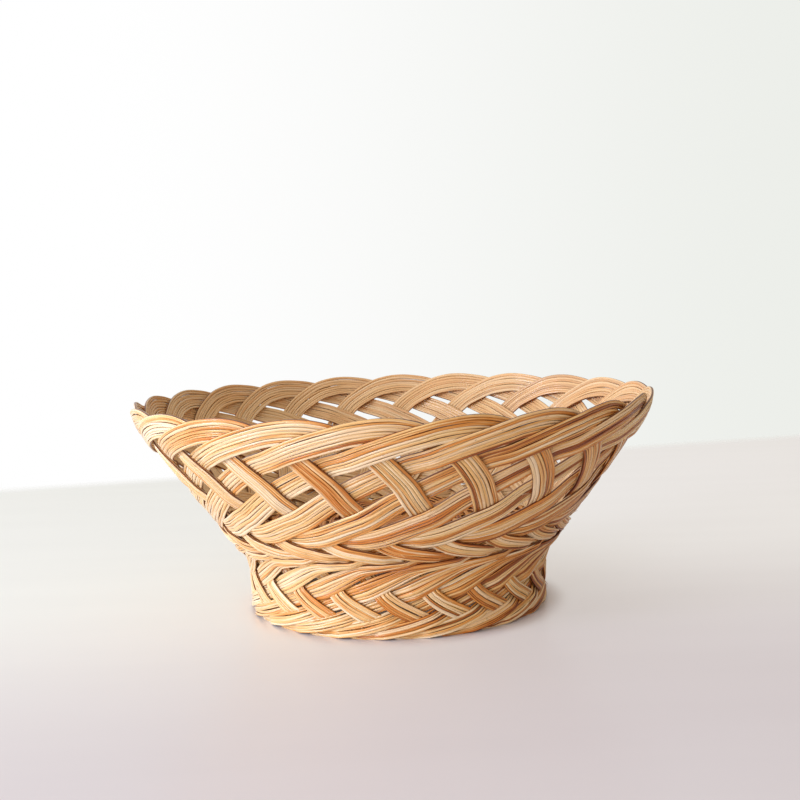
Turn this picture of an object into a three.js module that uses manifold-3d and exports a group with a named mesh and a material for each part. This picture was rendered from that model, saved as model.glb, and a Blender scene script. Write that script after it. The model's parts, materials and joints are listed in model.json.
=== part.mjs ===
// A small round footed basket, woven from flat ribbons of split rattan.
// Units are millimetres and +Z is up. The origin is the centre of the circle it stands on.
// Every ribbon lies on one surface of revolution: a straight foot, a waist and a wide bowl.
// Each wall ribbon rises to the right on the wall, bends over in a flat arch at the rim
// and comes down steeply to the waist. Each foot ribbon does the same upside down.

import * as THREE from 'three';
import { mergeVertices } from 'three/addons/utils/BufferGeometryUtils.js';
import Module from 'manifold-3d';

// Overall sizes, with the radii measured to the middle of the woven layer
const HEIGHT = 90;
const RIM_RADIUS = 109.5;
const FOOT_RADIUS = 62;
const WAIST_HEIGHT = 33;
const FLARE_DROP = 10.5; // the wall starts to lean out this far below the waist
const SHOULDER_DROP = 3.2; // and stands upright again from this far below the rim
const WAIST_ROUNDING = 5.5;
const SHOULDER_ROUNDING = 10;

// Ribbons
const RIBBON_COUNT = 22;
const WALL_RIBBON_WIDTH = 9;
const FOOT_RIBBON_WIDTH = 7.4;
const RIBBON_THICKNESS = 1.2;
const WEAVE_GAP = 0.6; // clear gap between two ribbons where they cross
const REST_CUT = 0.5; // depth of the flat on the foot's lowest edges
const RIBBON_STEP = 7.5; // length of one facet along a ribbon
const DIRECTION_STEP = 1; // a ribbon's direction is taken over this length to each side

// Base mat
const BASE_DROP = 1; // the base's middle lies this far below the waist
const ROD_DIAMETER = 2.2;
const ROD_SPACING = 2.7;
const ROD_SIDES = 6;
const LONG_ROD_COUNT = 6; // rods that cross the middle on top
const BAND_COUNT = 4;
const BAND_THICKNESS = 1.2;
const BAND_GAP = 0.6;
const BAND_START = 19.5; // radius where the bands begin
const BAND_EDGE = 1.2; // the spokes stand out this far beyond the last band
const SEAT_GAP = 0.6; // gap between the middle of the spokes' ends and the ribbons round them
const SEAT_TURN = 0.12; // the spokes meet the ribbons this far from their ends, in pitches

const PITCH = (2 * Math.PI) / RIBBON_COUNT;
const LAYER = (RIBBON_THICKNESS + WEAVE_GAP) / 2;
const FLARE_START = WAIST_HEIGHT - FLARE_DROP;
const SHOULDER = HEIGHT - SHOULDER_DROP;
const BASE_HEIGHT = WAIST_HEIGHT - BASE_DROP;

// Where the ribbons stand round the axis, in ribbon pitches from the front
const WALL_TURN = 0.78;
const FOOT_TURN = WALL_TURN - 1.62;

// Route of a wall ribbon: turn in pitches from its arch, rise from the waist (0) to the
// arch's middle line (1), layer (1 outside, -1 inside), its share of the ribbon's width and
// how far its cross-section leans along it, over the half width
const WALL_ROUTE = [
  [-5.7, -0.03, -1.9, 0.45, 0],
  [-5.3, 0.055, -1.9, 0.46, 0],
  [-5.0, 0.1, -1.9, 0.48, 0],
  [-4.78, 0.136, -1.4, 0.52, 0],
  [-4.58, 0.158, -0.2, 0.58, 0],
  [-4.36, 0.176, 0.9, 0.62, 0],
  [-4.0, 0.212, 1.1, 0.76, 0],
  [-3.39, 0.314, 1, 0.94, 0],
  [-3.14, 0.368, 1, 0.97, 0],
  [-2.86, 0.438, -1, 1, 0],
  [-2.14, 0.619, -1, 1, 0],
  [-1.6, 0.748, -1, 0.92, 0],
  [-1.42, 0.792, 1.7, 0.9, 0],
  [-1.0, 0.88, 1.7, 0.87, 0],
  [-0.68, 0.934, 1.2, 0.86, 0],
  [-0.46, 0.966, 0.9, 0.88, 0],
  [-0.26, 0.988, -0.1, 0.9, 0],
  [0.05, 1.0, -0.2, 0.96, 0],
  [0.3, 0.982, -1.4, 0.97, 0],
  [0.53, 0.945, -2, 0.96, 0],
  [0.86, 0.853, -2, 0.94, 0],
  [1.0, 0.803, -1.3, 0.94, 0],
  [1.085, 0.764, 1, 0.94, 0],
  [1.34, 0.604, 1, 0.96, 0],
  [1.525, 0.444, 1, 0.96, 0],
  [1.595, 0.385, -1, 0.95, 0],
  [1.78, 0.24, -1.2, 0.85, 0],
  [1.88, 0.17, -1.0, 0.66, 0],
  [1.95, 0.134, -0.4, 0.58, 0],
  [2.06, 0.097, 0.5, 0.54, 0],
  [2.3, 0.062, 1.9, 0.5, 0],
  [2.75, 0.032, 1.9, 0.46, 0],
  [2.95, 0.018, 1.5, 0.42, 0],
  [3.14, 0.005, 0, 0.36, 0],
  [3.32, -0.008, -0.25, 0.3, 0],
];

// Route of a foot ribbon: the same columns, with the rise from its lowest middle line (0)
// to the waist (1) and the turn from its lowest point
const FOOT_ROUTE = [
  [5.46, 1.005, -0.1, 0.34, 0],
  [5.2, 0.975, 0.2, 0.42, 0],
  [4.95, 0.943, 1.9, 0.47, 0],
  [4.58, 0.898, 1.8, 0.49, 0],
  [4.22, 0.846, 1.3, 0.54, 0],
  [3.91, 0.784, 1, 0.69, -0.2],
  [3.33, 0.618, 1, 0.78, -0.25],
  [3.07, 0.545, 1, 0.75, -0.4],
  [2.83, 0.486, -1, 0.72, -0.5],
  [2.18, 0.35, -1, 0.66, -0.7],
  [1.8, 0.26, -1, 0.6, -0.78],
  [1.56, 0.213, 1, 0.55, -0.78],
  [1.1, 0.128, 1, 0.49, -1],
  [0.75, 0.075, 1, 0.48, -1],
  [0.44, 0.036, 0.9, 0.46, -0.4],
  [0.24, 0.014, -0.7, 0.48, 0],
  [0.03, 0, -1, 0.62, 0],
  [-0.2, 0.03, -1, 0.66, 0.5],
  [-0.42, 0.095, -1, 0.7, 1],
  [-0.62, 0.165, -1, 0.72, 0.9],
  [-0.79, 0.2165, -1, 0.7, 0.9],
  [-0.9, 0.2515, 1, 0.7, 0.88],
  [-1.2, 0.35, 1, 0.74, 0.6],
  [-1.42, 0.45, 1, 0.74, 0.5],
  [-1.507, 0.508, 1, 0.74, 0.35],
  [-1.572, 0.55, -1, 0.74, 0.3],
  [-1.8, 0.7, -1.3, 0.74, 0],
  [-1.95, 0.79, -1.4, 0.7, 0],
];

const wasm = await Module();
wasm.setup();

const colours = {
  straw: 0xd9b27c,
  honey: 0xc89355,
  amber: 0xb47a3e,
  pale: 0xe6cfa3,
};
const rattan = Object.fromEntries(
  Object.entries(colours).map(([name, color]) => [
    name,
    new THREE.MeshStandardMaterial({ color, roughness: 0.45, metalness: 0 }),
  ]),
);

// A ramp that is 0 well below x = 0 and equals x well above it, rounded over a length
function ramp(x, rounding) {
  return 0.5 * (x + Math.hypot(x, rounding));
}

// How far the wall has leant out at a height, before the flare's scale
function flareRise(z) {
  return ramp(z - FLARE_START, WAIST_ROUNDING) - ramp(z - SHOULDER, SHOULDER_ROUNDING);
}

const FLARE = (RIM_RADIUS - FOOT_RADIUS) / flareRise(HEIGHT);

// Radius of the middle surface at a height
function surfaceRadius(z) {
  return FOOT_RADIUS + FLARE * flareRise(z);
}

// Slope of the ramp, from 0 to 1
function rampSlope(x, rounding) {
  return 0.5 * (1 + x / Math.hypot(x, rounding));
}

// Slope of the middle surface, radius over height
function surfaceSlope(z) {
  const lower = rampSlope(z - FLARE_START, WAIST_ROUNDING);
  return FLARE * (lower - rampSlope(z - SHOULDER, SHOULDER_ROUNDING));
}

function surfacePoint(azimuth, z) {
  const r = surfaceRadius(z);
  return new THREE.Vector3(r * Math.sin(azimuth), -r * Math.cos(azimuth), z);
}

function surfaceNormal(azimuth, z) {
  const slope = surfaceSlope(z);
  return new THREE.Vector3(Math.sin(azimuth), -Math.cos(azimuth), -slope).normalize();
}

// A closed solid from rings of corner points, each ring in the same order
function ringSolid(rings, closed) {
  const sides = rings[0].length;
  const vertices = rings.flat().flatMap((p) => [p.x, p.y, p.z]);
  const index = [];
  const last = closed ? rings.length : rings.length - 1;
  for (let i = 0; i < last; i += 1) {
    const a = i * sides;
    const b = ((i + 1) % rings.length) * sides;
    for (let k = 0; k < sides; k += 1) {
      const next = (k + 1) % sides;
      index.push(a + k, b + k, b + next, a + k, b + next, a + next);
    }
  }
  if (!closed) {
    const end = (rings.length - 1) * sides;
    for (let k = 1; k < sides - 1; k += 1) {
      index.push(0, k, k + 1, end, end + k + 1, end + k);
    }
  }
  const geometry = new THREE.BufferGeometry();
  geometry.setAttribute('position', new THREE.Float32BufferAttribute(vertices, 3));
  geometry.setIndex(index);
  if (signedVolume(geometry) < 0) {
    index.reverse();
    geometry.setIndex(index);
  }
  geometry.computeVertexNormals();
  return geometry;
}

function signedVolume(geometry) {
  const p = geometry.getAttribute('position');
  const index = geometry.getIndex();
  const [a, b, c] = [new THREE.Vector3(), new THREE.Vector3(), new THREE.Vector3()];
  let sum = 0;
  for (let i = 0; i < index.count; i += 3) {
    a.fromBufferAttribute(p, index.getX(i));
    b.fromBufferAttribute(p, index.getX(i + 1));
    c.fromBufferAttribute(p, index.getX(i + 2));
    sum += a.dot(b.cross(c)) / 6;
  }
  return sum;
}

// A flat ribbon carried along its route, its flat side on the surface. The route runs in a
// smooth curve through its points, and the layer changes evenly from point to point.
function ribbonSolid(route, low, high, width) {
  const knots = route.map(([turn, rise]) => new THREE.Vector3(turn * PITCH, low + rise * (high - low), 0));
  const curve = new THREE.CatmullRomCurve3(knots, false, 'catmullrom', 0.5);
  const distances = [0];
  for (let i = 1; i < knots.length; i += 1) {
    const from = surfacePoint(knots[i - 1].x, knots[i - 1].y);
    const to = surfacePoint(knots[i].x, knots[i].y);
    distances.push(distances[i - 1] + from.distanceTo(to));
  }
  const total = distances[distances.length - 1];

  const spotAt = (distance) => {
    const d = THREE.MathUtils.clamp(distance, 0, total);
    let i = 0;
    while (i < knots.length - 2 && distances[i + 1] < d) {
      i += 1;
    }
    const share = (d - distances[i]) / (distances[i + 1] - distances[i]);
    return curve.getPoint((i + share) / (knots.length - 1));
  };

  const section = (distance, layer, half, lean) => {
    const corner = (side, face) => {
      const place = distance - side * lean * half;
      const spot = spotAt(place);
      const ahead = spotAt(place + DIRECTION_STEP);
      const behind = spotAt(place - DIRECTION_STEP);
      const normal = surfaceNormal(spot.x, spot.y);
      const along = surfacePoint(ahead.x, ahead.y).sub(surfacePoint(behind.x, behind.y));
      const across = along.cross(normal).normalize();
      return surfacePoint(spot.x, spot.y)
        .addScaledVector(normal, layer * LAYER + (face * RIBBON_THICKNESS) / 2)
        .addScaledVector(across, side * half);
    };
    return [corner(-1, -1), corner(1, -1), corner(1, 1), corner(-1, 1)];
  };

  const rings = [];
  for (let i = 0; i < route.length - 1; i += 1) {
    const span = distances[i + 1] - distances[i];
    const parts = Math.max(1, Math.round(span / RIBBON_STEP));
    const count = i === route.length - 2 ? parts + 1 : parts;
    for (let k = 0; k < count; k += 1) {
      const share = k / parts;
      const [layer, wide, lean] = [2, 3, 4].map((column) =>
        THREE.MathUtils.lerp(route[i][column], route[i + 1][column], share),
      );
      rings.push(section(distances[i] + span * share, layer, (wide * width) / 2, lean));
    }
  }
  return ringSolid(rings, false);
}

function toManifold(geometry) {
  const bare = geometry.clone();
  bare.deleteAttribute('normal');
  bare.deleteAttribute('uv');
  const merged = mergeVertices(bare);
  return new wasm.Manifold(
    new wasm.Mesh({
      numProp: 3,
      vertProperties: new Float32Array(merged.getAttribute('position').array),
      triVerts: new Uint32Array(merged.getIndex().array),
    }),
  );
}

function fromManifold(solid) {
  const mesh = solid.getMesh();
  const geometry = new THREE.BufferGeometry();
  geometry.setAttribute('position', new THREE.BufferAttribute(new Float32Array(mesh.vertProperties), 3));
  geometry.setIndex(new THREE.BufferAttribute(new Uint32Array(mesh.triVerts), 1));
  geometry.computeVertexNormals();
  return geometry;
}

// What lies below the standing plane is cut off flat
function cutAtRest(geometry) {
  const reach = 4 * FOOT_RADIUS;
  const floor = new THREE.BoxGeometry(reach, reach, reach).translate(0, 0, -reach / 2);
  return fromManifold(toManifold(geometry).subtract(toManifold(floor)));
}

function label(stem, number) {
  return `${stem}_${String(number).padStart(2, '0')}`;
}

const basket = new THREE.Group();
const archLine = HEIGHT - WALL_RIBBON_WIDTH / 2;
const lowestShare = Math.min(...FOOT_ROUTE.map(([, rise, , share]) => (rise === 0 ? share : 1)));
const footLine = (FOOT_RIBBON_WIDTH * lowestShare) / 2 - REST_CUT;

const wallRibbon = ribbonSolid(WALL_ROUTE, WAIST_HEIGHT, archLine, WALL_RIBBON_WIDTH);
const footRibbon = cutAtRest(ribbonSolid(FOOT_ROUTE, footLine, WAIST_HEIGHT, FOOT_RIBBON_WIDTH));

const wall = new THREE.Group();
wall.rotation.z = WALL_TURN * PITCH;
const foot = new THREE.Group();
foot.rotation.z = FOOT_TURN * PITCH;
const tones = [rattan.straw, rattan.honey, rattan.pale, rattan.amber];
for (let i = 0; i < RIBBON_COUNT; i += 1) {
  const wallMesh = new THREE.Mesh(wallRibbon, tones[i % 4]);
  wallMesh.name = label('wall_ribbon', i + 1);
  wallMesh.rotation.z = i * PITCH;
  wall.add(wallMesh);
  const footMesh = new THREE.Mesh(footRibbon, tones[(i + 1) % 4]);
  footMesh.name = label('foot_ribbon', i + 1);
  footMesh.rotation.z = i * PITCH;
  foot.add(footMesh);
}
basket.add(wall, foot);

// The base mat fits inside the ribbons: its spokes end just short of the wall ribbons' inner
// ends. The inner face lies square to the surface, so its height is found step by step.
const seatDepth = -LAYER * WALL_ROUTE[0][2] + RIBBON_THICKNESS / 2 + SEAT_GAP;
let seatHeight = BASE_HEIGHT;
for (let i = 0; i < 20; i += 1) {
  const slope = surfaceSlope(seatHeight);
  seatHeight = BASE_HEIGHT - (seatDepth * slope) / Math.hypot(1, slope);
}
const seatLean = Math.hypot(1, surfaceSlope(seatHeight));
const baseRadius = surfaceRadius(seatHeight) - seatDepth / seatLean;

const base = new THREE.Group();
const firstSpoke = Math.PI / 2 - ((LONG_ROD_COUNT - 1) / 2) * PITCH;
base.position.z = BASE_HEIGHT;
base.rotation.z = (WALL_TURN + WALL_ROUTE[0][0] + SEAT_TURN) * PITCH - firstSpoke;

// One rod runs right across the base: straight and raised in the middle, then along two spokes
function rodSolid(number, count, lift) {
  const place = number - (count - 1) / 2;
  const side = place * ROD_SPACING;
  const angle = place * PITCH;
  const half = ((LONG_ROD_COUNT + 1) / 2) * ROD_SPACING;
  const spoke = (radius) => [radius * Math.cos(angle), radius * Math.sin(angle), 0];
  const outward = [
    [half * 0.55, side, lift],
    [half * 0.95, side * 1.05, lift],
    spoke(BAND_START * 0.85),
    spoke(BAND_START),
    spoke(baseRadius),
  ];
  const inward = outward.map(([x, y, z]) => [-x, y, z]).reverse();
  const path = [...inward, ...outward].map(([x, y, z]) => new THREE.Vector3(x, y, z));
  const up = new THREE.Vector3(0, 0, 1);
  const rings = path.map((p, i) => {
    const ahead = path[Math.min(i + 1, path.length - 1)];
    const behind = path[Math.max(i - 1, 0)];
    const across = new THREE.Vector3().subVectors(ahead, behind).cross(up).normalize();
    return Array.from({ length: ROD_SIDES }, (_, k) => {
      const turn = (2 * Math.PI * (k + 0.5)) / ROD_SIDES;
      return p
        .clone()
        .addScaledVector(across, (ROD_DIAMETER / 2) * Math.cos(turn))
        .addScaledVector(up, (ROD_DIAMETER / 2) * Math.sin(turn));
    });
  });
  return ringSolid(rings, false);
}

const rodLift = (ROD_DIAMETER + BAND_GAP) / 2;
const shortRodCount = RIBBON_COUNT / 2 - LONG_ROD_COUNT;
for (let i = 0; i < RIBBON_COUNT / 2; i += 1) {
  const long = i < LONG_ROD_COUNT;
  const number = long ? i : i - LONG_ROD_COUNT;
  const geometry = long
    ? rodSolid(number, LONG_ROD_COUNT, rodLift)
    : rodSolid(number, shortRodCount, -rodLift);
  const rod = new THREE.Mesh(geometry, rattan.honey);
  rod.name = label('base_rod', i + 1);
  rod.rotation.z = long ? 0 : Math.PI / 2;
  base.add(rod);
}

// Bands of weavers go round, over one spoke and under the next, each band out of step
// with the one before it
function bandSolid(number) {
  const span = baseRadius - BAND_EDGE - BAND_START;
  const width = (span - (BAND_COUNT - 1) * BAND_GAP) / BAND_COUNT;
  const inner = BAND_START + number * (width + BAND_GAP);
  const outer = inner + width;
  const swing = ROD_DIAMETER / 2 + BAND_GAP + BAND_THICKNESS / 2;
  const steps = RIBBON_COUNT * 3;
  const rings = Array.from({ length: steps }, (_, i) => {
    const angle = (i / steps) * 2 * Math.PI + PITCH / 2;
    const middle = swing * Math.cos((RIBBON_COUNT / 2) * (angle - PITCH / 2) + number * Math.PI);
    const corner = (radius, face) =>
      new THREE.Vector3(
        radius * Math.cos(angle),
        radius * Math.sin(angle),
        middle + (face * BAND_THICKNESS) / 2,
      );
    return [corner(inner, -1), corner(outer, -1), corner(outer, 1), corner(inner, 1)];
  });
  return ringSolid(rings, true);
}

for (let i = 0; i < BAND_COUNT; i += 1) {
  const band = new THREE.Mesh(bandSolid(i), i % 2 ? rattan.straw : rattan.amber);
  band.name = label('base_band', i + 1);
  base.add(band);
}
basket.add(base);

export default basket;
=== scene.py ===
"""Looks of a small round footed basket, woven from flat ribbons of split rattan.

Each ribbon of the frame is dressed as a row of separate strands that follow the ribbon's own
route over the basket's surface of revolution. The base is dressed as round rods with rows of
weavers. Lengths are in millimetres here and become metres when a mesh is made.
"""

import json
import math

import bpy
import numpy as np
from mathutils import Matrix


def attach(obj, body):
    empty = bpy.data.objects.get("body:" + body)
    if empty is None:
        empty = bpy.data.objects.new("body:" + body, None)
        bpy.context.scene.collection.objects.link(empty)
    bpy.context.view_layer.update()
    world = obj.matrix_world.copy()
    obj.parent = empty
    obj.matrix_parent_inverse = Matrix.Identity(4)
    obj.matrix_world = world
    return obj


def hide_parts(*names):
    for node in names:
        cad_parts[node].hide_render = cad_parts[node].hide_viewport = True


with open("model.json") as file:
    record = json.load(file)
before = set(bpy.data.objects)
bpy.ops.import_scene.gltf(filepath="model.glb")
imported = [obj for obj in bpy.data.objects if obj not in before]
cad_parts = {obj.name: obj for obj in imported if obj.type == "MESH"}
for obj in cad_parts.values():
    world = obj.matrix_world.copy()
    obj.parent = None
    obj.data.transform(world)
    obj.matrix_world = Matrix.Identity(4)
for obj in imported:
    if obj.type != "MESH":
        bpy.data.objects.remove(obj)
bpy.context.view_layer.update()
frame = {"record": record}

METRE = 0.001  # one millimetre in Blender's units

# Sizes of the woven surface, with the radii measured to the middle of the woven layer
HEIGHT = 90.0
RIM_RADIUS = 109.5
FOOT_RADIUS = 62.0
WAIST_HEIGHT = 33.0
FLARE_DROP = 10.5  # the wall starts to lean out this far below the waist
SHOULDER_DROP = 3.2  # and stands upright again from this far below the rim
WAIST_ROUNDING = 5.5
SHOULDER_ROUNDING = 10.0
FLARE_START = WAIST_HEIGHT - FLARE_DROP
SHOULDER = HEIGHT - SHOULDER_DROP

# Ribbons
RIBBON_COUNT = 22
PITCH = 2 * math.pi / RIBBON_COUNT
WALL_TURN = 0.78  # place of the first wall ribbon's arch, in pitches from the front
FOOT_TURN = WALL_TURN - 1.62  # place of the first foot ribbon's lowest point
WALL_WIDTH = 10.3
FOOT_WIDTH = 7.6
WALL_STRANDS = 8
FOOT_STRANDS = 6
ARCH_DROP = 4.5  # an arch's middle line lies this far below the rim
ARCH_LINE = HEIGHT - ARCH_DROP
FOOT_LINE = 1.794  # height of a foot ribbon's middle line at its lowest point
LAYER = 0.8  # one layer of the weave stands this far off the middle surface
CROWN = 0.08  # a ribbon's middle stands this share of its half width above its edges
LINE_PARTS = 30  # parts in which a route is measured from knot to knot

# Strands
STRAND_THICKNESS = 1.3
STRAND_SIDES = 10
STRAND_STEP = 1.15  # length of one facet along a strand
WIDTH_POWER = 0.55  # powers below 1 square off the round profile of a strand
DEPTH_POWER = 0.65
STRAND_FILL = 1.05  # share of its place in the ribbon that a strand fills
STRAND_WIDTHS = (0.65, 1.35)  # least and greatest place of a strand, over the mean
STRAND_DEPTHS = (0.9, 1.05)  # least and greatest thickness, over the usual one
CROWDED_WIDTH = 0.78  # a strand keeps this share of its width where its ribbon is drawn in
CROWDED_BELOW = 0.86  # strands crowd where a ribbon is narrower than this share of its width

# How a strand wanders: an amount and its wavelength, then those added where strands crowd
DRIFT = ((0.16, 45), (0.9, 40))  # sideways
LIFT = ((0.1, 35), (0.55, 50))  # off the surface
ROLL = ((0.2, 60), (0.3, 45))  # about its own line, in radians
WIDTH_CHANGE = 0.06  # share of its width by which a strand swells and narrows
WIDTH_WAVE = 30
WANDER_SINES = 3
WANDER_WAVES = (0.6, 1.6)  # shortest and longest sine, over the wavelength asked for
WANDER_GAIN = 1.3  # brings the mean of the sines back to about -1 to 1

# Tone of a strand, from the palest (0) to the darkest (1)
TONE_LEAST = 0.06
TONE_RANGE = 0.8
TONE_SHAPE = (0.6, 1.0)  # of a beta distribution with many pale strands and some dark ones
PAINTED_SIDE_LIGHT = 0.7  # painted light and shade: share by which tones pale at the lit left side, and deepen at the shaded right
NOISE_SPAN = 900  # each strand reads the fibre noise at a place of its own within this length

# Loose fibres
LOOSE_FIBRES = 3  # on each ribbon
FIBRE_DIAMETER = 0.24
FIBRE_TAPER = 0.6  # share of its diameter that a fibre loses up to its tip
FIBRE_LENGTHS = (1.5, 4)
FIBRE_LIFTS = (0.1, 0.45)  # how far a tip bends outward, over the fibre's length
FIBRE_SWING = 0.5  # and at most to either side
FIBRE_SPREAD = 0.95  # fibres start within this share of the ribbon's half width
FIBRE_MARGIN = 5  # rings at each end of a ribbon that have none
FIBRE_RINGS = 8
FIBRE_TONE = 0.3  # the darkest

# Base mat
BASE_DROP = 1.0  # the base's middle lies this far below the waist
BASE_HEIGHT = WAIST_HEIGHT - BASE_DROP
SPOKE_TURN = -5.58  # place of a spoke from an arch, in pitches: at the ribbon's inner end
FIRST_SPOKE = (WALL_TURN + SPOKE_TURN) * PITCH
# the base's rods and weavers take darker tones than the walls: painted shade of the basket's inside
BASE_SHADED_TONES = (0.5, 0.85)
ROD_DIAMETER = 2.2
ROD_SPACING = 2.7
ROD_REACH = 66.0  # radius where the spokes end
ROD_LIFT = 1.4  # where rods cross, the long ones lie this far above the mat's middle
ROD_RINGS = 90
LONG_RODS = 6
SHORT_RODS = RIBBON_COUNT // 2 - LONG_RODS
CROSSING = (LONG_RODS + 1) / 2 * ROD_SPACING  # half the width of the crossing
CROSSING_SHARES = (0.55, 0.95)  # a rod lies straight up to the first share of that half
CROSSING_FAN = 1.05  # and has opened out by this factor at the second
SPOKE_START = 0.85  # share of the first band's radius where a rod has become a spoke
BAND_COUNT = 4
BAND_START = 19.5  # radius where the bands begin
BAND_END = 64.8
ROWS_PER_BAND = 5
WEAVER_THICKNESS = 1.3
WEAVER_FILL = 0.96  # share of its row that a weaver fills
WEAVER_SWING = 1.9  # a weaver passes this far above and below the spokes' middle
WEAVER_DRIFT = 0.1
WEAVER_STEPS = 8  # facets from spoke to spoke

# Route of a wall ribbon, knot by knot: turn in pitches from its arch, rise from the waist (0)
# to the arch's middle line (1), layer (1 outside, -1 inside), share of the width, lean of the
# cross-section along the ribbon, and tilt, the distance by which the edge on the left stands
# out, looking along the route from outside
WALL_ROUTE = np.array([
    [-5.7, -0.03, -1.9, 0.45, 0, 0],
    [-5.3, 0.055, -1.9, 0.48, 0, 0],
    [-5.0, 0.1, -1.9, 0.54, 0, 0],
    [-4.78, 0.136, -1.4, 0.58, 0, 0],
    [-4.58, 0.156, -0.2, 0.74, 0, 0],
    [-4.36, 0.174, 0.9, 0.88, 0, 0],
    [-4.0, 0.209, 1.1, 0.98, 0, 0],
    [-3.39, 0.314, 1, 1, 0, 0],
    [-3.22, 0.35, 1, 1, 0, 0],
    [-2.74, 0.468, -1, 0.97, 0, 0],
    [-2.14, 0.619, -1, 0.95, 0, 0],
    [-1.68, 0.729, -1, 0.91, 0, 0],
    [-1.3, 0.818, 1.5, 0.88, 0, -0.2],
    [-1.0, 0.882, 1.8, 0.88, 0, -0.4],
    [-0.68, 0.936, 1.6, 0.87, 0, -0.5],
    [-0.46, 0.967, 1.3, 0.87, 0, -0.5],
    [-0.26, 0.988, 0.5, 0.88, 0, -0.5],
    [0.05, 1.0, -0.6, 0.9, 0, -0.5],
    [0.3, 0.982, -1.6, 0.94, 0, -0.4],
    [0.53, 0.945, -1.8, 0.93, 0, -0.2],
    [0.86, 0.853, -1.1, 0.9, 0, 0],
    [1.0, 0.803, -0.1, 0.89, 0, 0],
    [1.085, 0.764, 0.6, 0.89, 0, 0],
    [1.2, 0.696, 1, 0.9, 0, 0],
    [1.34, 0.604, 1, 0.92, 0, 0],
    [1.46, 0.501, 1, 0.93, 0, 0],
    [1.64, 0.345, -1, 0.95, 0, 0],
    [1.7, 0.29, -1.2, 0.92, 0, 0],
    [1.78, 0.22, -1.2, 0.87, 0, 0],
    [1.86, 0.162, -1, 0.8, 0, 0],
    [1.97, 0.124, -0.2, 0.73, 0, 0],
    [2.15, 0.092, 0.9, 0.66, 0, 0],
    [2.4, 0.07, 1.8, 0.62, 0, 0],
    [2.75, 0.043, 1.9, 0.57, 0, 0],
    [2.95, 0.026, 1.5, 0.5, 0, 0],
    [3.14, 0.009, 0, 0.42, 0, 0],
    [3.32, -0.008, -0.25, 0.32, 0, 0],
])

# Route of a foot ribbon: the same columns, with the turn from its lowest point and the rise
# from its middle line there (0) to the waist (1)
FOOT_ROUTE = np.array([
    [5.46, 1.005, -0.1, 0.42, 0, 0],
    [5.2, 0.98, 0.2, 0.42, 0, 0],
    [4.95, 0.955, 1.9, 0.44, 0, 0],
    [4.58, 0.924, 1.9, 0.49, 0, 0],
    [4.25, 0.882, 1.5, 0.68, 0, 0.1],
    [3.97, 0.814, 1, 0.92, -0.2, 0.2],
    [3.33, 0.618, 1, 1.08, -0.25, 0.2],
    [3.14, 0.564, 1, 1.06, -0.4, 0.2],
    [2.76, 0.47, -1, 0.95, -0.5, 0.2],
    [2.18, 0.34, -1, 0.82, -0.7, 0.2],
    [1.86, 0.257, -1, 0.78, -0.78, 0.3],
    [1.5, 0.182, 1, 0.78, -0.78, 0.4],
    [1.1, 0.112, 1, 0.78, -1, 0.5],
    [0.75, 0.066, 1, 0.74, -1, 0.5],
    [0.44, 0.032, 0.9, 0.68, -0.4, 0.3],
    [0.24, 0.014, -0.7, 0.64, 0, 0.1],
    [0.03, 0, -1, 0.7, 0, 0],
    [-0.2, 0.03, -1, 0.76, 0.5, 0],
    [-0.42, 0.095, -1, 0.82, 1, 0],
    [-0.62, 0.165, -1, 0.84, 0.9, 0],
    [-0.84, 0.232, 1, 0.84, 0.88, 0],
    [-1.2, 0.35, 1, 0.86, 0.6, 0],
    [-1.42, 0.45, 1, 0.86, 0.5, 0],
    [-1.48, 0.489, 1, 0.86, 0.35, 0],
    [-1.61, 0.574, -1, 0.86, 0.3, 0],
    [-1.8, 0.7, -1.3, 0.84, 0, 0],
    [-1.95, 0.79, -1.4, 0.8, 0, 0],
])


# Lines and the basket's surface

def unit(vectors):
    """The vectors, each divided by its length."""
    return vectors / np.linalg.norm(vectors, axis=-1, keepdims=True)


def distances(points):
    """Distance along a line from its start to each of its points: the sum of the steps so far."""
    return np.concatenate([[0], np.cumsum(np.linalg.norm(np.diff(points, axis=0), axis=1))])


def ramp(x, rounding):
    """0 well below x = 0 and x well above it: half the sum of x and the hypotenuse over x and
    the rounding."""
    return 0.5 * (x + np.hypot(x, rounding))


def ramp_slope(x, rounding):
    """Slope of the ramp, from 0 to 1."""
    return 0.5 * (1 + x / np.hypot(x, rounding))


def flare_rise(z):
    """How far the wall has leant out at a height, before the flare's scale: one ramp from above
    the foot less one from the shoulder."""
    return ramp(z - FLARE_START, WAIST_ROUNDING) - ramp(z - SHOULDER, SHOULDER_ROUNDING)


FLARE = (RIM_RADIUS - FOOT_RADIUS) / flare_rise(HEIGHT)


def surface(azimuth, z):
    """Points of the middle surface and its outward normals.

    The radius is the foot's plus the flare times its rise. Azimuth 0 is the front, and grows
    towards +X.
    """
    lower = ramp_slope(z - FLARE_START, WAIST_ROUNDING)
    slope = FLARE * (lower - ramp_slope(z - SHOULDER, SHOULDER_ROUNDING))
    radius = FOOT_RADIUS + FLARE * flare_rise(z)
    outward = np.stack([np.sin(azimuth), -np.cos(azimuth)], axis=-1)
    points = np.concatenate([radius[..., None] * outward, z[..., None]], axis=-1)
    return points, unit(np.concatenate([outward, -slope[..., None]], axis=-1))


def curve_through(knots, t):
    """Catmull-Rom curve through the knots: t counts knots, and the ends run straight on."""
    padded = np.vstack([2 * knots[0] - knots[1], knots, 2 * knots[-1] - knots[-2]])
    i = np.clip(t.astype(int), 0, len(knots) - 2)
    w = (t - i)[:, None]
    a, b, c, d = padded[i], padded[i + 1], padded[i + 2], padded[i + 3]
    square = 2 * a - 5 * b + 4 * c - d
    cube = 3 * b - a - 3 * c + d
    return 0.5 * (2 * b + (c - a) * w + square * w**2 + cube * w**3)


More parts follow.
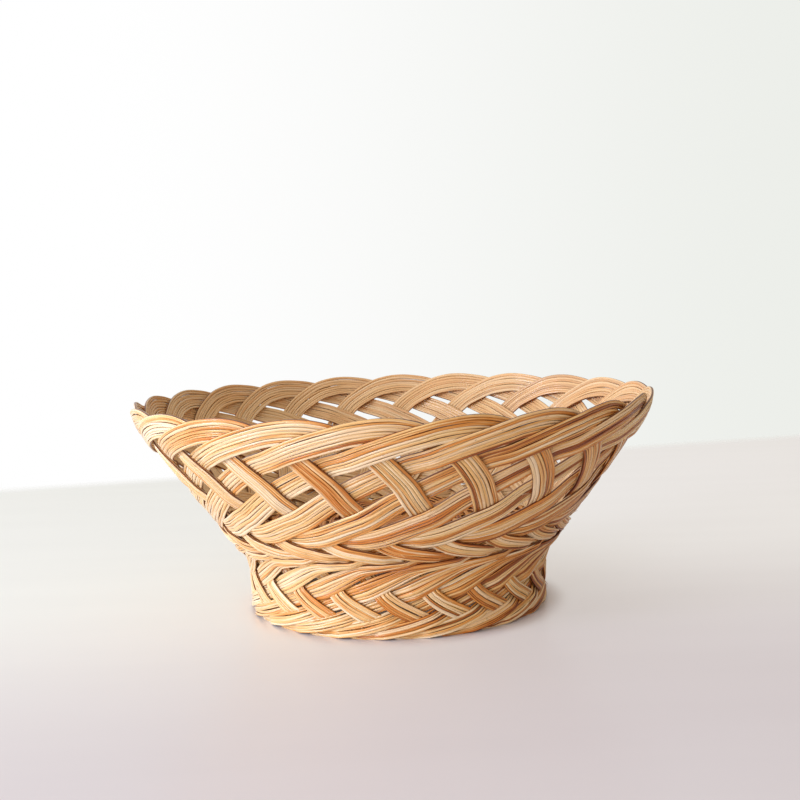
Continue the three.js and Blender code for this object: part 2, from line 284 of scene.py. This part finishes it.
def ease_through(x, places, values):
    """Cubic through the values that never overshoots them: the slope at a place is the harmonic
    mean of the slopes beside it, and 0 where they differ in sign."""
    gaps = np.diff(places)
    slopes = np.diff(values) / gaps
    product = slopes[:-1] * slopes[1:]
    total = slopes[:-1] + slopes[1:]
    tangent = np.zeros_like(values)
    tangent[1:-1] = np.where(product > 0, 2 * product / np.where(product > 0, total, 1), 0)
    i = np.clip(np.searchsorted(places, x) - 1, 0, len(gaps) - 1)
    w = np.clip((x - places[i]) / gaps[i], 0, 1)
    rise = values[i + 1] - values[i]
    start = tangent[i] * gaps[i]
    end = tangent[i + 1] * gaps[i]
    square = 3 * rise - 2 * start - end
    cube = start + end - 2 * rise
    return values[i] + start * w + square * w**2 + cube * w**3


def wander(rng, s, length):
    """Slow random drift along s, about -1 to 1: the mean of a few sines of nearly the given
    wavelength, each with a phase of its own."""
    wave = length * rng.uniform(*WANDER_WAVES, WANDER_SINES)
    phase = rng.uniform(0, 2 * math.pi, WANDER_SINES)
    return np.sin(2 * math.pi * s[:, None] / wave + phase).mean(axis=1) * WANDER_GAIN


def wander_crowded(rng, s, crowd, amounts):
    """A strand's own wander, and another that grows with the crowding."""
    (amount, length), (crowded_amount, crowded_length) = amounts
    own = amount * wander(rng, s, length)
    return own + crowd * crowded_amount * wander(rng, s, crowded_length)


# Meshes

class Strands:
    """Gathers strands and makes one mesh of them, with the fibre, tone and edge of each point.

    The fibre is a point's place along, across and through its strand, in millimetres, and the
    edge is 0 at the middle of a strand's face and near 1 at its sides.
    """

    def __init__(self):
        self.points = []
        self.quads = []
        self.caps = []
        self.fibre = []
        self.tone = []
        self.edge = []
        self.count = 0

    def add(self, centre, across, outward, half_width, half_thickness, tone, shift, closed=False):
        """One strand: a rounded flat profile carried along a line.

        The profile's point at angle q lies at the half width times the cosine of q across and
        the half thickness times the sine of q outward, each raised to its power below 1. Across
        is to the right of the line, seen from outside, so that the faces point outwards. The
        shift moves the strand to its own part of the fibre noise.
        """
        rings = len(centre)
        q = 2 * math.pi * (np.arange(STRAND_SIDES) + 0.5) / STRAND_SIDES
        flat = np.sign(np.cos(q)) * np.abs(np.cos(q)) ** WIDTH_POWER
        deep = np.sign(np.sin(q)) * np.abs(np.sin(q)) ** DEPTH_POWER
        x = half_width[:, None] * flat
        y = half_thickness[:, None] * deep
        points = centre[:, None] + x[..., None] * across[:, None] + y[..., None] * outward[:, None]
        along = np.broadcast_to(distances(centre)[:, None] + shift, x.shape)
        fibre = np.stack([along, x + shift, y], axis=-1)
        ring = np.arange(rings if closed else rings - 1)[:, None] * STRAND_SIDES
        after = (ring + STRAND_SIDES) % (rings * STRAND_SIDES)
        side = np.arange(STRAND_SIDES)
        beside = (side + 1) % STRAND_SIDES
        quads = np.stack([ring + side, after + side, after + beside, ring + beside], axis=-1)
        self.quads.append(quads.reshape(-1, 4) + self.count)
        if not closed:
            self.caps.append(self.count + side)
            self.caps.append(self.count + (rings - 1) * STRAND_SIDES + side[::-1])
        self.points.append(points.reshape(-1, 3))
        self.fibre.append(fibre.reshape(-1, 3))
        self.tone.append(np.repeat(np.broadcast_to(tone, rings), STRAND_SIDES))
        self.edge.append(np.tile(np.abs(flat), rings))
        self.count += rings * STRAND_SIDES

    def piece(self, name, material):
        """The object, at the origin, with every point no lower than the table."""
        points = np.concatenate(self.points)
        points[:, 2] = np.maximum(points[:, 2], 0)
        faces = np.concatenate(self.quads).tolist() + [cap.tolist() for cap in self.caps]
        mesh = bpy.data.meshes.new(name)
        mesh.from_pydata((points * METRE).tolist(), [], faces)
        for label, kind, field, values in (
            ("fibre", "FLOAT_VECTOR", "vector", self.fibre),
            ("tone", "FLOAT", "value", self.tone),
            ("edge", "FLOAT", "value", self.edge),
        ):
            attribute = mesh.attributes.new(label, kind, "POINT")
            attribute.data.foreach_set(field, np.concatenate(values).astype(np.float32).ravel())
        mesh.polygons.foreach_set("use_smooth", np.ones(len(mesh.polygons), dtype=bool))
        mesh.materials.append(material)
        mesh.update()
        piece = bpy.data.objects.new(name, mesh)
        bpy.context.scene.collection.objects.link(piece)
        return piece


def ribbon_line(route, low, high):
    """Middle line of a ribbon at even steps, with the knots' own places along it.

    The turn and rise run in a smooth curve through the route's knots, and the distance is
    measured on the surface.
    """
    knots = np.column_stack([route[:, 0] * PITCH, low + route[:, 1] * (high - low)])
    last = len(knots) - 1
    spots = curve_through(knots, np.linspace(0, last, LINE_PARTS * last + 1))
    points, _ = surface(spots[:, 0], spots[:, 1])
    length = distances(points)
    s = np.linspace(0, length[-1], int(length[-1] / STRAND_STEP) + 1)
    azimuth = np.interp(s, length, spots[:, 0])
    z = np.interp(s, length, spots[:, 1])
    return {"s": s, "azimuth": azimuth, "z": z, "places": length[::LINE_PARTS], "route": route}


def dress_ribbon(line, turn, width, strands, rng):
    """Strands side by side along a ribbon's line, crowded onto each other where it is drawn in.

    A strand's middle lies across the ribbon by its own share of the half width. It lies off the
    surface by the layer, read a little further on where the cross-section leans, by the tilt and
    by the crown, which falls with the square of the place across. Its roll follows the slope of
    both. Its tone grows with the sine of the azimuth: painted light and shade, paler at the lit
    left side and darker at the shaded right.
    """
    s, places, route = line["s"], line["places"], line["route"]
    azimuth = line["azimuth"] + turn
    points, normals = surface(azimuth, line["z"])
    along = np.gradient(points, s, axis=0)
    across = unit(np.cross(along, normals))
    half = ease_through(s, places, route[:, 3]) * width / 2
    lean = np.interp(s, places, route[:, 4])
    tilt = np.interp(s, places, route[:, 5])
    crowd = np.clip(1 - 2 * half / (width * CROWDED_BELOW), 0, 1)
    # painted light and shade: paler tones at the lit left side, darker at the shaded right
    shade = 1 + PAINTED_SIDE_LIGHT * np.sin(azimuth)

    shares = rng.uniform(*STRAND_WIDTHS, strands)
    shares *= 2 / shares.sum()
    middles = np.cumsum(shares) - shares / 2 - 1
    bundle = Strands()
    for share, middle in zip(shares, middles):
        own = share * STRAND_FILL / 2
        half_width = np.maximum(half * own, width / 2 * own * CROWDED_WIDTH)
        room = np.maximum(half - half_width, 0)
        offset = np.clip(middle * half + wander_crowded(rng, s, crowd, DRIFT), -room, room)
        layer = ease_through(np.clip(s + lean * offset, 0, s[-1]), places, route[:, 2])
        lift = wander_crowded(rng, s, crowd, LIFT) - tilt * offset / half
        lift += CROWN * half * (0.5 - (offset / half) ** 2)
        roll = wander_crowded(rng, s, crowd, ROLL)
        roll -= 2 * CROWN * offset / half + tilt / half
        centre = points + normals * (layer * LAYER + lift)[:, None] + across * offset[:, None]
        wide = across * np.cos(roll)[:, None] + normals * np.sin(roll)[:, None]
        deep = normals * np.cos(roll)[:, None] - across * np.sin(roll)[:, None]
        half_thickness = np.full(len(s), STRAND_THICKNESS / 2 * rng.uniform(*STRAND_DEPTHS))
        half_width = half_width * (1 + WIDTH_CHANGE * wander(rng, s, WIDTH_WAVE))
        tone = TONE_LEAST + TONE_RANGE * rng.beta(*TONE_SHAPE) * shade
        shift = rng.uniform(0, NOISE_SPAN)
        bundle.add(centre, wide, deep, half_width, half_thickness, tone, shift)
    height = ease_through(s, places, route[:, 2]) * LAYER + STRAND_THICKNESS / 2
    add_loose_fibres(bundle, (points, along, across, normals), half, height, rng)
    return bundle


def add_loose_fibres(bundle, ribbon, half, height, rng):
    """Thin fibres that lift off a ribbon's outer face: each runs on along the ribbon and bends
    outward and sideways with the square of its length."""
    points, along, across, normals = ribbon
    t = np.linspace(0, 1, FIBRE_RINGS)[:, None]
    for _ in range(LOOSE_FIBRES):
        i = rng.integers(FIBRE_MARGIN, len(points) - FIBRE_MARGIN)
        aside = across[i] * half[i] * rng.uniform(-FIBRE_SPREAD, FIBRE_SPREAD)
        root = points[i] + aside + normals[i] * height[i]
        length = rng.uniform(*FIBRE_LENGTHS)
        bend = normals[i] * rng.uniform(*FIBRE_LIFTS)
        bend = bend + across[i] * rng.uniform(-FIBRE_SWING, FIBRE_SWING)
        line = root + length * (t * along[i] + t**2 * bend)
        radius = FIBRE_DIAMETER / 2 * (1 - FIBRE_TAPER * t[:, 0])
        wide = np.repeat(across[i][None], len(t), axis=0)
        deep = np.repeat(normals[i][None], len(t), axis=0)
        tone = rng.uniform(0, FIBRE_TONE)
        bundle.add(line, wide, deep, radius, radius, tone, rng.uniform(0, NOISE_SPAN))


def dress_rod(number, count, lift, quarter, rng):
    """One rod of the base: a smooth curve that lies straight across the middle, above or below
    the other rods, and then runs out along a spoke at each end. The whole rod is turned by the
    quarter."""
    place = number - (count - 1) / 2
    side = place * ROD_SPACING
    angle = place * PITCH
    inner, outer = (CROSSING * share for share in CROSSING_SHARES)
    spoke = np.array([math.cos(angle), math.sin(angle), 0])
    outward = np.array([
        [inner, side, lift],
        [outer, side * CROSSING_FAN, lift],
        spoke * BAND_START * SPOKE_START,
        spoke * BAND_START,
        spoke * (BAND_START + ROD_REACH) / 2,
        spoke * ROD_REACH,
    ])
    knots = np.vstack([(outward * [-1, 1, 1])[::-1], outward])
    line = curve_through(knots, np.linspace(0, len(knots) - 1, ROD_RINGS))
    # The first long rod ends on the first spoke
    turn = FIRST_SPOKE - (math.pi / 2 - (LONG_RODS - 1) / 2 * PITCH) + quarter
    spin = np.array([
        [math.cos(turn), math.sin(turn), 0],
        [-math.sin(turn), math.cos(turn), 0],
        [0, 0, 1],
    ])
    line = line @ spin + [0, 0, BASE_HEIGHT]
    along = np.gradient(line, axis=0)
    across = unit(np.cross(along, [0, 0, 1]))
    upward = unit(np.cross(across, along))
    radius = np.full(len(line), ROD_DIAMETER / 2)
    # a darker tone: painted shade of the basket's inside
    tone = rng.uniform(*BASE_SHADED_TONES)
    rod = Strands()
    rod.add(line, across, upward, radius, radius, tone, rng.uniform(0, NOISE_SPAN))
    return rod


def dress_band(number, rng):
    """Rows of weavers round the base: each row's height swings as a cosine of the angle, over one
    spoke and under the next, and each row is out of step with the one inside it."""
    band = Strands()
    width = (BAND_END - BAND_START) / BAND_COUNT
    row_width = width / ROWS_PER_BAND
    steps = RIBBON_COUNT * WEAVER_STEPS
    angle = np.arange(steps) / steps * 2 * math.pi
    outward = np.stack([np.sin(angle), -np.cos(angle), np.zeros(steps)], axis=1)
    half_width = np.full(steps, row_width / 2 * WEAVER_FILL)
    half_thickness = np.full(steps, WEAVER_THICKNESS / 2)
    for row in range(ROWS_PER_BAND):
        order = number * ROWS_PER_BAND + row
        radius = BAND_START + number * width + (row + 0.5) * row_width
        swing = np.cos(RIBBON_COUNT / 2 * (angle - FIRST_SPOKE) + order * math.pi)
        line = outward * (radius + WEAVER_DRIFT * wander(rng, angle, 2 * math.pi))[:, None]
        line[:, 2] = BASE_HEIGHT + WEAVER_SWING * swing
        along = unit(np.roll(line, -1, axis=0) - np.roll(line, 1, axis=0))
        upward = np.cross(outward, along)
        # a darker tone: painted shade of the basket's inside
        tone = rng.uniform(*BASE_SHADED_TONES)
        shift = rng.uniform(0, NOISE_SPAN)
        band.add(line, outward, upward, half_width, half_thickness, tone, shift, closed=True)
    return band


# Shader nodes

def linear(code):
    """A colour written as red, green and blue out of 255, as the linear values of shaders: the
    usual screen curve taken back."""
    share = np.array(code) / 255
    low = share / 12.92
    high = ((share + 0.055) / 1.055) ** 2.4
    return (*np.where(share <= 0.04045, low, high), 1.0)


def put(tree, kind, inputs=(), **settings):
    """A node with its settings, each input linked from a socket or set to a value."""
    node = tree.nodes.new(kind)
    for name, value in settings.items():
        setattr(node, name, value)
    for place, value in dict(inputs).items():
        if isinstance(value, bpy.types.NodeSocket):
            tree.links.new(value, node.inputs[place])
        else:
            node.inputs[place].default_value = value
    return node


def math_node(tree, operation, *values):
    """The result of a sum, product or the like of two or three values."""
    return put(tree, "ShaderNodeMath", enumerate(values), operation=operation).outputs[0]


def vector_node(tree, operation, *values):
    """The outputs of a vector sum, product or the like."""
    return put(tree, "ShaderNodeVectorMath", enumerate(values), operation=operation).outputs


def spread(tree, value, low, high):
    """0 below low, 1 above high and a smooth step between."""
    inputs = {"Value": value, "From Min": low, "From Max": high}
    settings = {"interpolation_type": "SMOOTHSTEP"}
    return put(tree, "ShaderNodeMapRange", inputs, **settings).outputs["Result"]


def blend_colours(tree, factor, first, second, blend_type="MIX"):
    """From the first colour to the second, or to the first tinted by the second. The node's sockets
    are told by number, because their names repeat for each kind of data."""
    inputs = {0: factor, 6: first, 7: second}
    settings = {"data_type": "RGBA", "blend_type": blend_type}
    return put(tree, "ShaderNodeMix", inputs, **settings).outputs[2]


def blend_shaders(tree, factor, first, second):
    """From the first shader to the second."""
    return put(tree, "ShaderNodeMixShader", {0: factor, 1: first, 2: second}).outputs[0]


def stain(tree, colour, value, limits, share, code, blend_type="MIX"):
    """The colour with a stain that sets in, up to its share, as the value passes its limits."""
    mask = math_node(tree, "MULTIPLY", spread(tree, value, *limits), share)
    return blend_colours(tree, mask, colour, linear(code), blend_type)


def fibre_noise(tree, fibre, scale, detail):
    """Noise drawn out along the strand: scale is per millimetre along, across and through it."""
    stretched = vector_node(tree, "MULTIPLY", fibre, scale)[0]
    inputs = {"Vector": stretched, "Scale": 1.0, "Detail": detail, "Roughness": 0.6}
    return put(tree, "ShaderNodeTexNoise", inputs).outputs[0]


# Rattan

# Noises of the fibre: changes per millimetre along, across and through a strand, and detail
SLOW_NOISE = ((0.03, 0.5, 0.5), 2)
STREAK_NOISE = ((0.025, 1.8, 1.8), 3)
PORE_NOISE = ((0.1, 11.0, 11.0), 2)
SPECK_NOISE = ((0.55, 2.4, 2.4), 1)

# What a noise or the tone is multiplied by, and what is then added
SLOW_TONE = (0.7, -0.3)
STREAK_TONE = (2.1, -1.07)
STREAK_STRENGTH = (0.8, 0.55)  # dark strands have stronger streaks than pale ones
STREAK_ROUGHNESS = (0.5, 0.12)

# Tones between which each colour takes over from the one before it, after the palest
TONE_STEPS = {"Straw": (0.05, 0.32), "Honey": (0.36, 0.62), "Amber": (0.76, 1.1)}

# Stains: the limits between which each sets in, its share and its colour
PORES = ((0.58, 0.7), 0.5, (80, 42, 18))
SPECKS = ((0.7, 0.78), 0.6, (110, 62, 30))
# painted shade along a strand's sides, where it meets its neighbours
STRAND_SIDE_SHADE = ((0.82, 1.0), 1.0, (112, 58, 26))

INNER_FACE = (231, 190, 137)  # a strand's inner face is split from the core, and even in colour
INNER_SHARE = 0.68
INNER_DEPTHS = (-0.5, -0.1)  # the inner face begins between these depths below the middle
PORE_HEIGHT = 0.6  # height of the pores over that of the streaks
BUMP = {"Strength": 0.5, "Distance": 0.00012}  # the distance is in metres
VARNISH = {
    "Coat Weight": 0.4,
    "Coat IOR": 1.55,
    "Coat Roughness": 0.18,
    "Specular IOR Level": 0.2,
}

# The palest, straw, honey and amber colour of each material
PALETTES = {
    "rattan_straw": ((246, 217, 171), (237, 192, 122), (219, 143, 62), (154, 83, 31)),
    "rattan_honey": ((244, 210, 160), (234, 183, 110), (215, 135, 55), (146, 76, 26)),
    "rattan_pale": ((247, 221, 178), (240, 198, 130), (223, 150, 69), (161, 90, 36)),
    "rattan_amber": ((242, 205, 153), (231, 177, 103), (211, 128, 50), (140, 70, 23)),
}


def strand_group():
    """Colour, roughness and height of a split strand: slow changes of tone and long streaks, which
    are stronger on dark strands, fine pores, specks, painted shade along its sides where strands
    meet, and a plain inner face."""
    tree = bpy.data.node_groups.new("rattan_strand", "ShaderNodeTree")
    colours = ("Pale", *TONE_STEPS, "Inside")
    given_kinds = {"Fibre": "Vector", "Tone": "Float", "Edge": "Float"}
    given_kinds.update({name: "Color" for name in colours})
    result_kinds = {"Colour": "Color", "Roughness": "Float", "Height": "Float"}
    for in_out, kinds in (("INPUT", given_kinds), ("OUTPUT", result_kinds)):
        for name, kind in kinds.items():
            tree.interface.new_socket(name, in_out=in_out, socket_type=f"NodeSocket{kind}")
    given = tree.nodes.new("NodeGroupInput").outputs
    result = tree.nodes.new("NodeGroupOutput").inputs

    slow = fibre_noise(tree, given["Fibre"], *SLOW_NOISE)
    streak = fibre_noise(tree, given["Fibre"], *STREAK_NOISE)
    pore = fibre_noise(tree, given["Fibre"], *PORE_NOISE)
    speck = fibre_noise(tree, given["Fibre"], *SPECK_NOISE)

    tone = math_node(tree, "MULTIPLY_ADD", slow, *SLOW_TONE)
    tone = math_node(tree, "ADD", tone, given["Tone"])
    streaked = math_node(tree, "MULTIPLY_ADD", streak, *STREAK_TONE)
    strength = math_node(tree, "MULTIPLY_ADD", given["Tone"], *STREAK_STRENGTH)
    tone = math_node(tree, "ADD", tone, math_node(tree, "MULTIPLY", streaked, strength))

    colour = given["Pale"]
    for name, limits in TONE_STEPS.items():
        colour = blend_colours(tree, spread(tree, tone, *limits), colour, given[name])
    colour = stain(tree, colour, pore, *PORES)
    colour = stain(tree, colour, speck, *SPECKS)
    # painted shade along the strand's sides
    colour = stain(tree, colour, given["Edge"], *STRAND_SIDE_SHADE, "MULTIPLY")
    depth = put(tree, "ShaderNodeSeparateXYZ", {0: given["Fibre"]}).outputs["Z"]
    outer = spread(tree, depth, *INNER_DEPTHS)
    inner = math_node(tree, "MULTIPLY_ADD", outer, -INNER_SHARE, INNER_SHARE)
    colour = blend_colours(tree, inner, colour, given["Inside"])
    tree.links.new(colour, result["Colour"])

    rough = math_node(tree, "MULTIPLY_ADD", streak, *STREAK_ROUGHNESS)
    tree.links.new(rough, result["Roughness"])
    height = math_node(tree, "MULTIPLY_ADD", pore, PORE_HEIGHT, streak)
    height = math_node(tree, "MULTIPLY", height, math_node(tree, "SUBTRACT", 1.0, inner))
    tree.links.new(height, result["Height"])
    return tree


def rattan(name, group, palette):
    """Varnished split rattan: the strand group under a clear coat."""
    material = bpy.data.materials.new(name)
    material.use_nodes = True
    tree = material.node_tree
    shader = tree.nodes["Principled BSDF"]
    inputs = {"Inside": linear(INNER_FACE)}
    for socket, output in (("Fibre", "Vector"), ("Tone", "Fac"), ("Edge", "Fac")):
        attribute = put(tree, "ShaderNodeAttribute", attribute_name=socket.lower())
        inputs[socket] = attribute.outputs[output]
    for socket, code in zip(("Pale", *TONE_STEPS), palette):
        inputs[socket] = linear(code)
    strand = put(tree, "ShaderNodeGroup", inputs, node_tree=group).outputs
    bump = put(tree, "ShaderNodeBump", {**BUMP, "Height": strand["Height"]})
    tree.links.new(strand["Colour"], shader.inputs["Base Color"])
    tree.links.new(strand["Roughness"], shader.inputs["Roughness"])
    tree.links.new(bump.outputs["Normal"], shader.inputs["Normal"])
    for socket, value in VARNISH.items():
        shader.inputs[socket].default_value = value
    return material


# Pieces

SEED = 22  # of all the random draws, which follow the order of the pieces

group = strand_group()
materials = {name: rattan(name, group, palette) for name, palette in PALETTES.items()}
slots = {row["node"]: row["material_slot"] for row in frame["record"]["subparts"]}


def settle(strands, node):
    """Makes the piece that stands for a node of the frame, in the node's own material slot."""
    piece = strands.piece(node + "_strands", materials[slots[node]])
    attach(piece, "root")
    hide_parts(node)


wall_line = ribbon_line(WALL_ROUTE, WAIST_HEIGHT, ARCH_LINE)
foot_line = ribbon_line(FOOT_ROUTE, FOOT_LINE, WAIST_HEIGHT)
rng = np.random.default_rng(SEED)
for i in range(RIBBON_COUNT):
    turn = (WALL_TURN + i) * PITCH
    ribbon = dress_ribbon(wall_line, turn, WALL_WIDTH, WALL_STRANDS, rng)
    settle(ribbon, f"wall_ribbon_{i + 1:02d}")
for i in range(RIBBON_COUNT):
    turn = (FOOT_TURN + i) * PITCH
    ribbon = dress_ribbon(foot_line, turn, FOOT_WIDTH, FOOT_STRANDS, rng)
    settle(ribbon, f"foot_ribbon_{i + 1:02d}")
for i in range(LONG_RODS):
    rod = dress_rod(i, LONG_RODS, ROD_LIFT, 0, rng)
    settle(rod, f"base_rod_{i + 1:02d}")
for i in range(SHORT_RODS):
    rod = dress_rod(i, SHORT_RODS, -ROD_LIFT, math.pi / 2, rng)
    settle(rod, f"base_rod_{LONG_RODS + i + 1:02d}")
for i in range(BAND_COUNT):
    settle(dress_band(i, rng), f"base_band_{i + 1:02d}")


# Table

TABLE_FAR_EDGE = ((-291, 336), (355, 490))  # two points of the far edge, at the picture's sides
TABLE_REACH = 2000  # the table runs on this far past them, and twice as far to the front
EDGE_BLUR = 40  # the far edge fades out over this width
# The table's paint is lighter on the right, a painted light, and darker near the camera, a painted
# shade
TABLE_LEFT = (244, 243, 235)
TABLE_RIGHT_LIT = (250, 247, 243)
TABLE_NEAR_SHADED = (221, 212, 211)
TABLE_SIDES = (-100, 150)  # X from which to which the left colour turns into the lighter right one, a painted light
TABLE_DEPTHS = (320, 580)  # distances from the far edge over which the darker near colour, a painted shade, sets in
TABLE_ROUGHNESS = 0.28
GRAIN_SCALE = (6, 40, 1)  # changes of the grain per metre
GRAIN = ((0.3, 0.7), 0.02, (150, 140, 136))  # a stain: limits, share and colour
TABLE_GLOW = 0.5  # share of its own colour that the table shows, in shade too
GLOW_START = (1.0, 1.2)  # distances from the axis over which it sets in, in foot radii


def table_paint(nearer, edge):
    """Pale satin paint: painted light to the right and painted shade towards the near side.

    How far a point lies in front of the far edge is its place along the nearer direction less
    the edge's. The camera sees part of the colour unshaded, but not inside the foot, and the
    paint turns clear at the far edge.
    """
    material = bpy.data.materials.new("pale_paint")
    material.use_nodes = True
    tree = material.node_tree
    shader = tree.nodes["Principled BSDF"]
    place = put(tree, "ShaderNodeTexCoord").outputs["Object"]
    sideways = put(tree, "ShaderNodeSeparateXYZ", {0: place}).outputs["X"]
    ahead = vector_node(tree, "DOT_PRODUCT", place, (*nearer, 0))["Value"]
    away = vector_node(tree, "LENGTH", place)["Value"]
    grain = put(tree, "ShaderNodeMapping", {"Vector": place, "Scale": GRAIN_SCALE}).outputs[0]
    cloud = put(tree, "ShaderNodeTexNoise", {"Vector": grain, "Scale": 1.0, "Detail": 4}).outputs[0]

    # painted light to the right, then painted shade towards the near side
    righter = spread(tree, sideways, *(x * METRE for x in TABLE_SIDES))
    colour = blend_colours(tree, righter, linear(TABLE_LEFT), linear(TABLE_RIGHT_LIT))
    near = spread(tree, ahead, *(edge + depth * METRE for depth in TABLE_DEPTHS))
    colour = blend_colours(tree, near, colour, linear(TABLE_NEAR_SHADED))
    colour = stain(tree, colour, cloud, *GRAIN)
    tree.links.new(colour, shader.inputs["Base Color"])
    shader.inputs["Roughness"].default_value = TABLE_ROUGHNESS

    glow = put(tree, "ShaderNodeEmission", {"Color": colour, "Strength": 1.0}).outputs[0]
    seen = put(tree, "ShaderNodeLightPath").outputs["Is Camera Ray"]
    open_table = spread(tree, away, *(share * FOOT_RADIUS * METRE for share in GLOW_START))
    share = math_node(tree, "MULTIPLY", math_node(tree, "MULTIPLY", seen, open_table), TABLE_GLOW)
    paint = blend_shaders(tree, share, shader.outputs[0], glow)
    clear = put(tree, "ShaderNodeBsdfTransparent").outputs[0]
    blur = EDGE_BLUR * METRE
    solid = spread(tree, ahead, edge - blur / 2, edge + blur / 2)
    mixed = blend_shaders(tree, solid, clear, paint)
    tree.links.new(mixed, tree.nodes["Material Output"].inputs["Surface"])
    return material


def table_top():
    """A flat quad under the basket. Its far edge runs slantwise behind the basket, through two
    points, and fades into the wall."""
    left, right = np.array(TABLE_FAR_EDGE) * METRE
    reach = TABLE_REACH * METRE
    along = unit(right - left)
    nearer = np.array([along[1], -along[0]])
    far = np.array([left - reach * along, right + reach * along]) - EDGE_BLUR * METRE * nearer
    corners = np.zeros((4, 3))
    corners[:, :2] = np.vstack([far + 2 * reach * nearer, far[::-1]])
    mesh = bpy.data.meshes.new("table_top")
    mesh.from_pydata(corners.tolist(), [], [(0, 1, 2, 3)])
    mesh.materials.append(table_paint(nearer, float(left @ nearer)))
    top = bpy.data.objects.new("table_top", mesh)
    bpy.context.scene.collection.objects.link(top)


# Light and camera, with places in metres

# Wall that the camera sees, in colours out of 255: greyer to the right, a painted shade
WALL_LEFT = (255, 255, 255)
WALL_RIGHT_SHADED = (236, 238, 233)
WALL_SIDES = (-0.25, 0.4)  # X of the view from which to which the wall's painted shade sets in

# Light of the room's sides and ceiling, in linear values
ROOM_LEFT = (0.92, 0.95, 1.0, 1)
ROOM_RIGHT = (0.38, 0.262, 0.155, 1)
CEILING_LEFT = (1.08, 1.08, 1.09, 1)
CEILING_RIGHT = (0.52, 0.51, 0.5, 1)
ROOM_SIDES = (-0.7, 0.6)  # X of the direction from which to which the light changes
CEILING_RISE = (0.1, 0.6)  # Z of the direction over which the ceiling takes over

# Windows: name, place, size, power in watts and colour
WINDOWS = (
    ("window_left", (-0.95, -0.4, 0.28), 0.36, 6.5, (0.92, 0.99, 1.32)),
    ("window_front", (-0.5, -0.87, 0.13), 0.22, 2.4, (0.93, 0.98, 1.3)),
)
WINDOW_AIM = (0, 0, 0.05)

# Camera
CAMERA_PLACE = (-0.0005, -0.49, 0.1302)
CAMERA_PITCH = math.radians(5.102)
CAMERA_YAW = math.radians(0.43)
CAMERA_ROLL = math.radians(-1.905)
CAMERA_LENS = 51.5


def room_light():
    """White room all round: seen as a pale wall with painted shade that greys it to the right, and
    lighting the basket from its bright left side and its ceiling more than from its dim right side."""
    world = bpy.data.worlds.new("room")
    bpy.context.scene.world = world
    world.use_nodes = True
    tree = world.node_tree
    seen = put(tree, "ShaderNodeLightPath").outputs["Is Camera Ray"]
    direction = put(tree, "ShaderNodeTexCoord").outputs["Generated"]
    parts = put(tree, "ShaderNodeSeparateXYZ", {0: direction}).outputs
    # painted shade: the wall turns greyer to the right
    aside = spread(tree, parts["X"], *WALL_SIDES)
    wall = blend_colours(tree, aside, linear(WALL_LEFT), linear(WALL_RIGHT_SHADED))
    aside = spread(tree, parts["X"], *ROOM_SIDES)
    light = blend_colours(tree, aside, ROOM_LEFT, ROOM_RIGHT)
    ceiling = blend_colours(tree, aside, CEILING_LEFT, CEILING_RIGHT)
    light = blend_colours(tree, spread(tree, parts["Z"], *CEILING_RISE), light, ceiling)
    shown = put(tree, "ShaderNodeBackground", {"Color": wall, "Strength": 1.0}).outputs[0]
    fill = put(tree, "ShaderNodeBackground", {"Color": light, "Strength": 1.0}).outputs[0]
    mixed = blend_shaders(tree, seen, fill, shown)
    tree.links.new(mixed, tree.nodes["World Output"].inputs["Surface"])


def matrix_from(right, upward, backward, place):
    """A place and three axes as the matrix that Blender takes."""
    rows = np.eye(4)
    rows[:3] = np.column_stack([right, upward, backward, place])
    return Matrix(rows.tolist())


def window(name, place, size, power, colour):
    """A square soft lamp at a place, turned to face the basket."""
    lamp = bpy.data.lights.new(name, "AREA")
    lamp.size = size
    lamp.energy = power
    lamp.color = colour
    towards = unit(np.array(WINDOW_AIM) - np.array(place))
    side = unit(np.cross(towards, [0, 0, 1]))
    holder = bpy.data.objects.new(name, lamp)
    holder.matrix_world = matrix_from(side, np.cross(side, towards), -towards, place)
    bpy.context.scene.collection.objects.link(holder)


def camera():
    """A camera in front, a little above the rim, looking slightly down and rolled as the picture
    is."""
    level = math.cos(CAMERA_PITCH)
    right = np.array([math.cos(CAMERA_YAW), -math.sin(CAMERA_YAW), 0])
    forward = np.array([
        math.sin(CAMERA_YAW) * level,
        math.cos(CAMERA_YAW) * level,
        -math.sin(CAMERA_PITCH),
    ])
    upward = np.cross(right, forward)
    rolled_right = math.cos(CAMERA_ROLL) * right + math.sin(CAMERA_ROLL) * upward
    rolled_up = math.cos(CAMERA_ROLL) * upward - math.sin(CAMERA_ROLL) * right
    lens = bpy.data.cameras.new("camera")
    lens.lens = CAMERA_LENS
    lens.sensor_width = 36.0
    lens.clip_start = 0.01
    holder = bpy.data.objects.new("camera", lens)
    holder.matrix_world = matrix_from(rolled_right, rolled_up, -forward, CAMERA_PLACE)
    bpy.context.scene.collection.objects.link(holder)
    bpy.context.scene.camera = holder


table_top()
room_light()
for row in WINDOWS:
    window(*row)
camera()
bpy.context.scene.view_settings.view_transform = "Standard"
